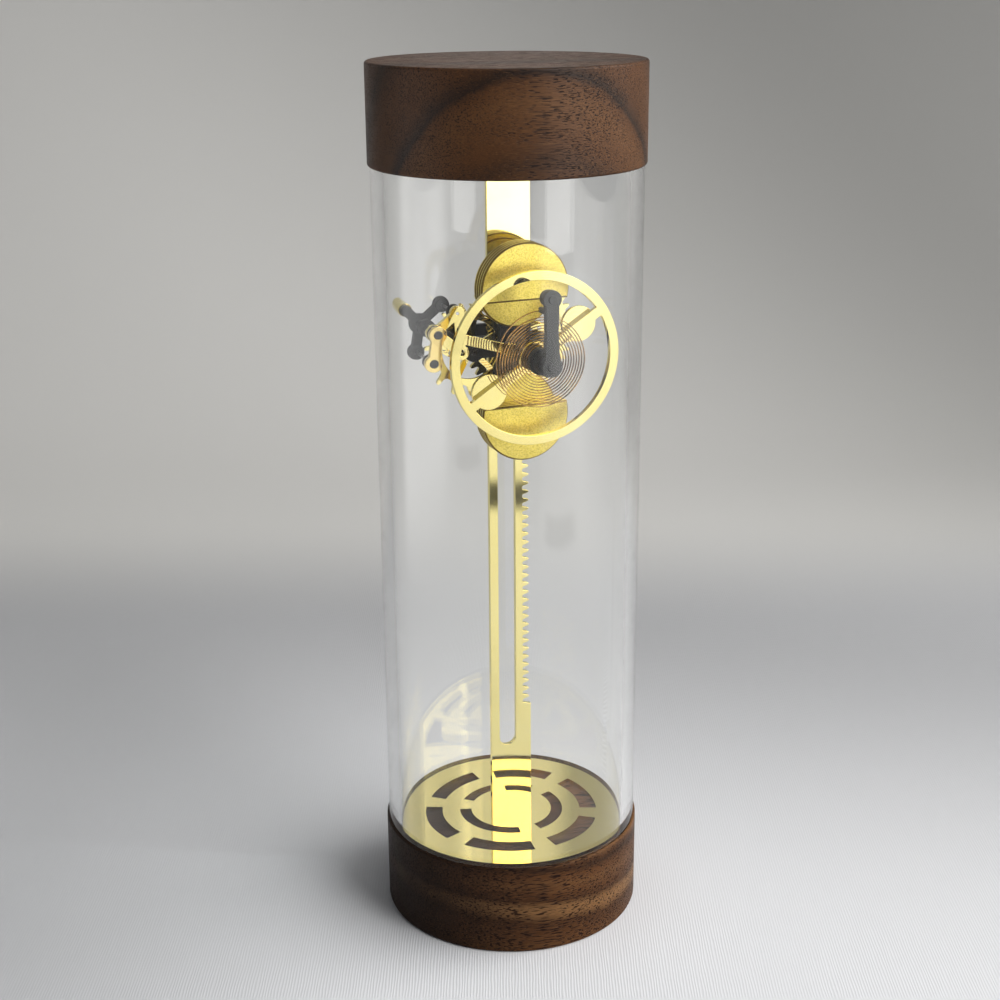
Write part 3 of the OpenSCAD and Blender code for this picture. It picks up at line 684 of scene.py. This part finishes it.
    def reflected_shade_band_mask(self, at: SetPlace) -> Signal:
        """Painted shade on the floor at the front right, seen only after a reflection, which the
        brass strip mirrors as a dark band.
        """
        along, near = self.reflected_shade_band_aim
        reach = at.along * along + at.near * near
        aside = at.along * near - at.near * along
        length = reach.between(*self.reflected_shade_band_start) * reach.between(*self.reflected_shade_band_end)
        return length * (aside * aside).between(*self.reflected_shade_band_square)

    def painted_shade_foot_mask(self, at: SetPlace) -> Signal:
        """Painted shade on the floor at the panel's foot and under the window, where the lamps
        would burn it out.
        """
        right_of, before = at.along - self.foot_right, at.near - self.foot_near
        panel = (right_of * right_of + before * before).between(*self.foot_square)
        return panel.most(at.along.between(*self.foot_window))

    def glow_mask(self, at: SetPlace) -> Signal:
        """The bright stretches at the far left and right that the glass and brass mirror."""
        left = at.near / (0.0 - at.along).most(1.0)
        right = at.near / at.along.most(1.0)
        glow = left.between(*self.left_low_slope) * left.between(*self.left_high_slope)
        glow = glow * at.along.between(*self.left_glow)
        other = right.between(*self.right_low_slope) * right.between(*self.right_high_slope)
        return glow + other * at.along.between(*self.right_glow) * self.right_share

    def build(self, title: str) -> bpy.types.Material:
        """Make the set's surface."""
        s = Shader(title)
        along, away, up = s.split(s.place(-SET_TURN))
        at = SetPlace(along, away, 0.0 - away, up)
        weave = s.noise(s.place(-SET_TURN, (0.5, 0.08, 0.5)), 1.0)
        strayed = along + weave.swing(self.rib_stray)
        ribs = (strayed * (math.tau / self.rib)).sine() * 0.5 + 0.5
        far = (away + up).between(*self.wall_from)
        camera, glossy, through, bounced = s.light_path(
            "Is Camera Ray", "Is Glossy Ray", "Is Transmission Ray", "Glossy Depth")
        mirrored = glossy * (1.0 - through)

        colour = s.mix(far, self.cloth_tone(s, at, ribs), self.wall_tone(s, at))
        # Painted light: paler cloth and wall where the tube's glass is looked through.
        lit = through * (self.painted_light_through_cloth - far * self.painted_light_through_wall_less)
        colour = s.mix(lit, colour, self.painted_light_through_tube)
        colour = s.mix(self.shade_mask(at) * mirrored, colour, self.front_shade)
        # Painted shade seen only after a reflection: the dark band in the brass strip.
        colour = s.mix(self.reflected_shade_band_mask(at) * bounced.least(1.0), colour, self.reflected_shade_band)
        seen = camera.most(through - bounced)
        # Painted shade on the floor near the lamps, where the camera sees it.
        colour = s.mix(self.painted_shade_foot_mask(at) * seen * self.foot_share, colour, self.front_shade)
        glow = s.mix(self.glow_mask(at) * mirrored, (0.0, 0.0, 0.0), self.glow_tint)
        return s.finish(Base_Color=colour, Roughness=0.9, Specular_IOR_Level=0.1,
                        Normal=s.bump(ribs * (1.0 - far), self.rib_depth, 0.5),
                        Emission_Color=glow, Emission_Strength=self.glow)


class Finish(Enum):
    """The finishes of the hourglass, each with its material's name and its slot in the record."""

    WALNUT_TOP = ("walnut_top", "walnut")
    WALNUT_BASE = ("walnut_base", "walnut")
    GLASS = ("clear_tube", "glass")
    STRIP = ("strip_brass", "polished_brass")
    WHEEL = ("wheel_brass", "polished_brass")
    LINK = ("link_brass", "polished_brass")
    BLASTED = ("blasted_brass", "blasted_brass")
    # A darker copy of the grainy brass: painted shade in the grooves between weight plates.
    BLASTED_GROOVE_SHADE = ("blasted_brass_groove_shade", "blasted_brass")
    DARK = ("dark_metal", "dark_metal")
    STEEL = ("turned_steel", "steel")
    BLUED = ("blued_steel", "steel")
    BRONZE = ("spring_bronze", "spring_bronze")

    @property
    def title(self) -> str:
        """The material's name."""
        return self.value[0]

    @property
    def slot(self) -> str:
        """The record's slot name."""
        return self.value[1]


@dataclass
class FinishShelf:
    """Every finish, made once."""

    made: dict[Finish, bpy.types.Material] = field(default_factory=dict)

    def stock(self) -> None:
        """Make all the finishes."""
        recipes = {
            Finish.WALNUT_TOP: Walnut(
                pith=(-139.0, 99.6), ring=125.0,
                figure=((0.0, 0.50), (9.0, 0.46), (13.0, 0.22), (16.0, 0.44), (21.0, 0.56),
                        (23.6, 0.42), (24.6, 0.05), (25.4, 0.14), (27.5, 0.40), (33.0, 0.50),
                        (36.0, 0.38), (40.0, 0.12), (46.0, 0.42), (60.0, 0.35)),
                seed=0.4),
            Finish.WALNUT_BASE: Walnut(
                pith=(-30.0, -400.0), ring=395.0,
                figure=((0.0, 0.46), (5.0, 0.55), (9.0, 0.44), (12.6, 0.32), (14.8, 0.84),
                        (16.4, 0.92), (18.2, 0.30), (20.0, 0.46), (22.5, 0.60), (25.0, 0.48),
                        (26.6, 0.12), (27.6, 0.34), (29.2, 0.68), (36.0, 0.72)),
                # The base darkens on its left: dark heartwood and painted shade.
                lean=0.09, heart_and_shade=(-30.0, 8.0), seed=2.3, gloss=0.10, pore_size=1.45,
                pore_from=0.53),
            Finish.GLASS: ClearTube(),
            Finish.STRIP: PolishedBrass(),
            Finish.WHEEL: PolishedBrass(tint=(0.93, 0.80, 0.32), tarnish=(0.88, 0.72, 0.25),
                                        lines=(0.6, 1.0, 6.0)),
            Finish.LINK: PolishedBrass(tint=(0.90, 0.70, 0.26), tarnish=(0.82, 0.56, 0.15)),
            Finish.BLASTED: BlastedBrass(),
            # Painted shade for the slanted faces in the grooves between weight plates.
            Finish.BLASTED_GROOVE_SHADE: BlastedBrass(tint=(0.26, 0.17, 0.025), shade=(0.16, 0.10, 0.015)),
            Finish.DARK: DarkMetal(),
            Finish.STEEL: TurnedSteel(),
            Finish.BLUED: TurnedSteel(tint=(0.050, 0.050, 0.056), worn=(0.026, 0.025, 0.028)),
            Finish.BRONZE: SpringBronze(),
        }
        self.made = {finish: recipe.build(finish.title) for finish, recipe in recipes.items()}

    def dress(self, obj: bpy.types.Object, finish: Finish) -> None:
        """Put a finish on every slot of an object.

        Args:
            obj: A CAD node's object or a new piece.
            finish: What it is dressed in.
        """
        if not obj.material_slots:
            obj.data.materials.append(self.made[finish])
        for slot in obj.material_slots:
            slot.material = self.made[finish]


@dataclass
class Part:
    """What every sub-assembly does: take CAD nodes, soften their edges, add pieces, dress them."""

    frame: dict[str, Any]
    shelf: FinishShelf

    body = ""
    MERGE = 0.001 * MM
    CUT_MERGE = 0.0001 * MM
    COPLANAR = math.radians(0.6)
    SHARP = math.radians(38.0)
    SMOOTH = math.radians(50.0)
    # A face is slanted when its normal's share towards the front or back lies between these.
    SLANTED = (0.25, 0.97)

    def keep(self, finish: Finish, *nodes: str) -> None:
        """Show CAD nodes as they are.

        Args:
            finish: What they are dressed in.
            nodes: The CAD nodes.
        """
        for node in nodes:
            self.shelf.dress(self.frame["nodes"][node], finish)
            LOG.info("%s: kept in %s", node, finish.name.lower())

    def soften(self, finish: Finish, width: float, *nodes: str, chamfer: float = 0.0,
               slant: Finish | None = None) -> None:
        """Stand a copy with softened edges in each node's place.

        Args:
            finish: What the copies are dressed in.
            width: Width of the softened edge.
            nodes: The CAD nodes.
            chamfer: Width of a chamfer along the flats of paired plates, cut before the edges
                are softened.
            slant: A second finish for the slanted faces between a plate's front and its rim.
        """
        for node in nodes:
            bm = bmesh.new()
            bm.from_mesh(self.frame["nodes"][node].data)
            bmesh.ops.remove_doubles(bm, verts=bm.verts, dist=self.MERGE)
            bmesh.ops.dissolve_limit(bm, angle_limit=self.COPLANAR, verts=bm.verts,
                                     edges=bm.edges)
            if chamfer > 0.0:
                self.cut_flats(bm, chamfer)
            sharp = [e for e in bm.edges
                     if len(e.link_faces) == 2 and e.calc_face_angle() > self.SHARP]
            bmesh.ops.bevel(bm, geom=sharp, offset=width, offset_type="OFFSET", affect="EDGES",
                            segments=2, profile=0.5, material=-1, clamp_overlap=True)
            piece = self.add(bm, node + "_softened", finish)
            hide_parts(node)
            if slant is not None:
                self.dress_slants(piece, slant)

    def dress_slants(self, piece: bpy.types.Object, finish: Finish) -> None:
        """Give a piece's slanted faces a finish of their own.

        Args:
            piece: A dressed piece.
            finish: The slanted faces' finish.
        """
        low, high = self.SLANTED
        # The slanted faces get a darker copy of the finish: painted shade in the grooves between
        # plates.
        piece.data.materials.append(self.shelf.made[finish])
        for face in piece.data.polygons:
            face.material_index = int(low < abs(face.normal.y) < high)

    @classmethod
    def cut_flats(cls, bm: bmesh.types.BMesh, width: float) -> None:
        """Chamfer the front edges of the flats that an upper and a lower plate turn to each other.

        Args:
            bm: Both plates.
            width: How far the chamfer reaches along each face.
        """
        middle = sum(v.co.z for v in bm.verts) / len(bm.verts)
        for side in (1.0, -1.0):
            half = [v for v in bm.verts if (v.co.z - middle) * side > 0.0]
            flat = min(v.co.z * side for v in half) * side
            front = min(v.co.y for v in half)
            geom = {item for v in half for item in (v, *v.link_edges, *v.link_faces)}
            cut = bmesh.ops.bisect_plane(
                bm, geom=list(geom), dist=cls.CUT_MERGE, plane_co=(0.0, front, flat + side * width),
                plane_no=(0.0, -1.0, -side), clear_outer=True)["geom_cut"]
            rim = [e for e in cut if isinstance(e, bmesh.types.BMEdge)]
            bmesh.ops.holes_fill(bm, edges=rim, sides=0)

    def add(self, bm: bmesh.types.BMesh, name: str, finish: Finish) -> bpy.types.Object:
        """Turn a bmesh into a dressed piece that rides on this part's body.

        Args:
            bm: The shape, freed here.
            name: The piece's name.
            finish: Its finish.

        Returns:
            The new object.
        """
        for face in bm.faces:
            face.smooth = True
        for edge in bm.edges:
            edge.smooth = len(edge.link_faces) == 2 and edge.calc_face_angle() < self.SMOOTH
        mesh = bpy.data.meshes.new(name)
        bm.to_mesh(mesh)
        bm.free()
        obj = bpy.data.objects.new(name, mesh)
        bpy.context.scene.collection.objects.link(obj)
        weighted = obj.modifiers.new("even_shade", "WEIGHTED_NORMAL")
        weighted.keep_sharp = True
        self.shelf.dress(obj, finish)
        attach(obj, self.body)
        LOG.info("%s: %d faces", name, len(mesh.polygons))
        return obj


@dataclass
class Stand(Part):
    """The two caps, the tube, the fretted discs and the toothed strip."""

    strip_edge: float = 0.06 * MM
    disc_edge: float = 0.08 * MM
    body = "stand"

    def build(self) -> None:
        """Dress the stand."""
        self.keep(Finish.WALNUT_TOP, "cap_top")
        self.keep(Finish.WALNUT_BASE, "cap_bottom")
        self.keep(Finish.GLASS, "tube")
        self.soften(Finish.STRIP, self.strip_edge, "toothed_strip")
        self.soften(Finish.WHEEL, self.disc_edge, "disc_bottom", "disc_top")


@dataclass
class Movement(Part):
    """Frames, weights, bridge, post and cock, which run along the strip together."""

    frame_edge: float = 0.12 * MM
    cock_edge: float = 0.22 * MM
    stud_edge: float = 0.08 * MM
    weight_edge: float = 0.05 * MM
    weight_chamfer: float = 0.45 * MM
    shoe_edge: float = 0.1 * MM
    screw_edge: float = 0.15 * MM
    body = "movement"

    def build(self) -> None:
        """Dress the running frame and wind the hairspring."""
        self.soften(Finish.DARK, self.frame_edge, "frame_front", "frame_back", "rear_bridge")
        self.soften(Finish.DARK, self.cock_edge, "balance_cock", "balance_post", "cock_pin")
        self.soften(Finish.DARK, self.stud_edge, "spring_stud")
        # The weights' slanted faces are dressed darker: painted shade in the grooves between
        # plates.
        self.soften(Finish.BLASTED, self.weight_edge, "weight_discs", slant=Finish.BLASTED_GROOVE_SHADE)
        self.soften(Finish.BLASTED, self.weight_edge, "weight_plates_1", "weight_plates_2",
                    "weight_plates_3", "weight_plates_4", chamfer=self.weight_chamfer,
                    slant=Finish.BLASTED_GROOVE_SHADE)
        self.soften(Finish.WHEEL, self.shoe_edge, "guide_shoes")
        self.soften(Finish.STEEL, self.screw_edge, "shoe_screws", "weight_screws",
                    "bridge_pillars", "bridge_screws")
        Hairspring(self.frame, self.shelf).build()


@dataclass
class Hairspring(Part):
    """The flat bronze ribbon wound between the balance's collet and the stud."""

    turns: float = 12.0
    pitch: float = 0.62 * MM
    first: float = 3.10 * MM
    thickness: float = 0.14 * MM
    height: float = 0.45 * MM
    level: float = -19.0 * MM
    middle: float = 141.0 * MM
    start: float = math.radians(90.0)
    lift: float = 0.9 * MM
    lift_turns: float = 0.75
    lift_from: float = 0.6
    steps: int = 96
    body = "movement"

    def radius(self, turn: float) -> float:
        """Radius of the ribbon's middle, which lifts to the stud at the end of the last turn.

        Args:
            turn: Turns from the collet.

        Returns:
            The radius there.
        """
        n = max(0.0, 1.0 - (self.turns - turn) / self.lift_turns)
        u = max(0.0, (n - self.lift_from) / (1.0 - self.lift_from))
        return self.first + self.pitch * turn + self.lift * u * u * (3.0 - 2.0 * u)

    def point(self, step: int) -> Vector:
        """A point of the ribbon's front edge.

        Args:
            step: Steps from the collet.

        Returns:
            The point.
        """
        turn = step / self.steps
        angle = self.start + math.tau * (self.turns - turn)
        r = self.radius(turn)
        return Vector((r * math.cos(angle), self.level - self.height / 2,
                       self.middle + r * math.sin(angle)))

    def build(self) -> None:
        """Draw the ribbon's line, raise it to a band and give the band its thickness."""
        bm = bmesh.new()
        line = [bm.verts.new(self.point(i)) for i in range(int(self.turns * self.steps) + 1)]
        edges = [bm.edges.new(pair) for pair in zip(line, line[1:])]
        band = bmesh.ops.extrude_edge_only(bm, edges=edges)["geom"]
        bmesh.ops.translate(bm, vec=(0.0, self.height, 0.0),
                            verts=[v for v in band if isinstance(v, bmesh.types.BMVert)])
        bmesh.ops.recalc_face_normals(bm, faces=bm.faces)
        bmesh.ops.solidify(bm, geom=bm.faces[:], thickness=self.thickness)
        bmesh.ops.recalc_face_normals(bm, faces=bm.faces)
        piece = self.add(bm, "hairspring_ribbon", Finish.BRONZE)
        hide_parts("hairspring")


@dataclass
class GreatTrain(Part):
    """The pinion on the strip and the great wheel."""

    wheel_edge: float = 0.06 * MM
    body = "great_train"

    def build(self) -> None:
        """Dress the train."""
        self.keep(Finish.BLUED, "great_arbor")
        self.keep(Finish.STEEL, "strip_pinion_pins_set")
        self.soften(Finish.WHEEL, self.wheel_edge, "strip_pinion_shrouds", "great_wheel")


@dataclass
class EscapeTrain(Part):
    """The second pinion and the escape wheel."""

    wheel_edge: float = 0.05 * MM
    body = "escape_train"

    def build(self) -> None:
        """Dress the train."""
        self.keep(Finish.BLUED, "second_arbor")
        self.keep(Finish.STEEL, "second_pinion_pins_set")
        self.soften(Finish.WHEEL, self.wheel_edge, "second_pinion_shrouds", "escape_wheel")


@dataclass
class Pallets(Part):
    """The lever, anchor, pins and trim weight that swing together."""

    anchor_edge: float = 0.2 * MM
    lever_edge: float = 0.08 * MM
    link_edge: float = 0.1 * MM
    body = "pallets"

    def build(self) -> None:
        """Dress the pallets."""
        self.keep(Finish.STEEL, "pallet_pins")
        self.soften(Finish.DARK, self.anchor_edge, "pallet_anchor", "pallet_collars",
                    "pallet_arbor", "trim_screw")
        self.soften(Finish.WHEEL, self.lever_edge, "pallet_lever", "trim_weight")
        self.soften(Finish.LINK, self.link_edge, "pallet_link")


@dataclass
class Balance(Part):
    """The balance wheel with its discs, hub and impulse pin."""

    wheel_edge: float = 0.09 * MM
    hub_edge: float = 0.2 * MM
    body = "balance"

    def build(self) -> None:
        """Dress the balance."""
        self.keep(Finish.STEEL, "impulse_pin")
        self.soften(Finish.WHEEL, self.wheel_edge, "balance_wheel", "balance_discs")
        self.soften(Finish.DARK, self.hub_edge, "balance_hub")


@dataclass(frozen=True)
class StudioCamera:
    """The set's camera, worked out from the rims of both caps."""

    away: float = -0.37482
    up: float = 0.22655
    pitch: float = math.radians(18.229)
    roll: float = math.radians(-0.452)
    yaw: float = math.radians(-0.333)
    lens: float = 60.162
    sensor: float = 36.0
    clip: Span = (0.01, 20.0)

    def build(self) -> None:
        """Make the camera and look through it."""
        ahead = Vector((math.sin(self.yaw) * math.cos(self.pitch),
                        math.cos(self.yaw) * math.cos(self.pitch), -math.sin(self.pitch)))
        right = Vector((math.cos(self.yaw), -math.sin(self.yaw), 0.0))
        up = right.cross(ahead)
        side = right * math.cos(self.roll) + up * math.sin(self.roll)
        top = up * math.cos(self.roll) - right * math.sin(self.roll)
        turn = Matrix((side, top, -ahead)).transposed().to_4x4()
        data = bpy.data.cameras.new("studio_camera")
        data.lens = self.lens
        data.sensor_width = self.sensor
        data.sensor_fit = "HORIZONTAL"
        data.clip_start, data.clip_end = self.clip
        camera = bpy.data.objects.new("studio_camera", data)
        place = Matrix.Translation((0.0, self.away, self.up))
        camera.matrix_world = Matrix.Rotation(SET_TURN, 4, "Z") @ place @ turn
        bpy.context.scene.collection.objects.link(camera)
        bpy.context.scene.camera = camera


@dataclass(frozen=True)
class Lamp:
    """One soft box of the set, aimed at a height on the part's axis."""

    name: str
    right: float
    away: float
    up: float
    width: float
    height: float
    power: float
    tint: Colour = (1.0, 1.0, 1.0)
    aim: float = 0.10

    def build(self) -> None:
        """Hang the lamp and turn it to the part."""
        data = bpy.data.lights.new(self.name, "AREA")
        data.shape = "RECTANGLE"
        data.size = self.width
        data.size_y = self.height
        data.energy = self.power
        data.color = self.tint
        lamp = bpy.data.objects.new(self.name, data)
        place = on_set(self.right, self.away, self.up)
        facing = (Vector((0.0, 0.0, self.aim)) - place).to_track_quat("-Z", "Y")
        lamp.matrix_world = Matrix.Translation(place) @ facing.to_matrix().to_4x4()
        lamp.visible_camera = False
        bpy.context.scene.collection.objects.link(lamp)


@dataclass(frozen=True)
class Studio:
    """The set: cloth sweep, lamps, room light and camera."""

    left: float = 2.2
    right: float = 1.25
    front: float = -1.3
    back: float = 0.35
    bend: float = 0.22
    bend_steps: int = 16
    wall: float = 1.5
    floor: float = -0.00005
    daylight: Colour = (1.0, 0.99, 0.97)
    room_tint: Colour = (0.92, 0.95, 1.0)
    room_light: float = 0.06
    room_seen: float = 0.44

    def build(self) -> None:
        """Make the whole set."""
        self.sweep()
        self.room()
        for lamp in (
            Lamp("window", right=1.10, away=-0.05, up=0.85, width=1.90, height=1.60, power=32.0,
                 tint=self.daylight),
            Lamp("panel", right=0.63, away=-0.655, up=0.712, width=0.38, height=1.40, power=3.8,
                 tint=self.daylight, aim=0.712),
            Lamp("overhead", right=0.0, away=-0.1, up=1.30, width=1.4, height=1.4, power=0.8),
        ):
            lamp.build()
        StudioCamera().build()
        bpy.context.scene.view_settings.view_transform = "Standard"

    def sweep(self) -> None:
        """Draw the sweep's section and pull it across the set."""
        bm = bmesh.new()
        front = bm.verts.new((-self.left, self.front, self.floor))
        foot = bm.verts.new((-self.left, self.back, self.floor))
        bm.edges.new((front, foot))
        arc = bmesh.ops.spin(
            bm, geom=[foot], cent=(-self.left, self.back, self.floor + self.bend),
            axis=(1.0, 0.0, 0.0), angle=math.radians(90.0), steps=self.bend_steps,
            use_duplicate=False)["geom_last"]
        rise = bm.verts.new((-self.left, self.back + self.bend, self.wall))
        bm.edges.new((next(v for v in arc if isinstance(v, bmesh.types.BMVert)), rise))
        pulled = bmesh.ops.extrude_edge_only(bm, edges=bm.edges[:])["geom"]
        bmesh.ops.translate(bm, vec=(self.left + self.right, 0.0, 0.0),
                            verts=[v for v in pulled if isinstance(v, bmesh.types.BMVert)])
        bmesh.ops.rotate(bm, cent=(0.0, 0.0, 0.0), matrix=Matrix.Rotation(SET_TURN, 3, "Z"),
                         verts=bm.verts)
        bmesh.ops.recalc_face_normals(bm, faces=bm.faces)
        for face in bm.faces:
            face.smooth = True
        mesh = bpy.data.meshes.new("cloth_sweep")
        bm.to_mesh(mesh)
        bm.free()
        sweep = bpy.data.objects.new("cloth_sweep", mesh)
        bpy.context.scene.collection.objects.link(sweep)
        mesh.materials.append(ClothSweep().build("cloth_sweep"))

    def room(self) -> None:
        """Give the room a soft grey light, brighter where the camera, metal or glass sees it."""
        s = Shader("room", room=True)
        camera, glossy, through = s.light_path(
            "Is Camera Ray", "Is Glossy Ray", "Is Transmission Ray")
        strength = camera.most(glossy).most(through) * self.room_seen + self.room_light
        bpy.context.scene.world = s.close(s.add("ShaderNodeBackground", {}, {
            "Color": self.room_tint, "Strength": strength}))


def main() -> None:
    """Build the hourglass and its set in order."""
    logging.basicConfig(level=logging.INFO, format="%(message)s")
    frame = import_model()
    shelf = FinishShelf()
    shelf.stock()
    for part in (Stand, Movement, GreatTrain, EscapeTrain, Pallets, Balance):
        part(frame, shelf).build()
        LOG.info("%s dressed", part.__name__)
    Studio().build()


if __name__ == "__main__":
    main()
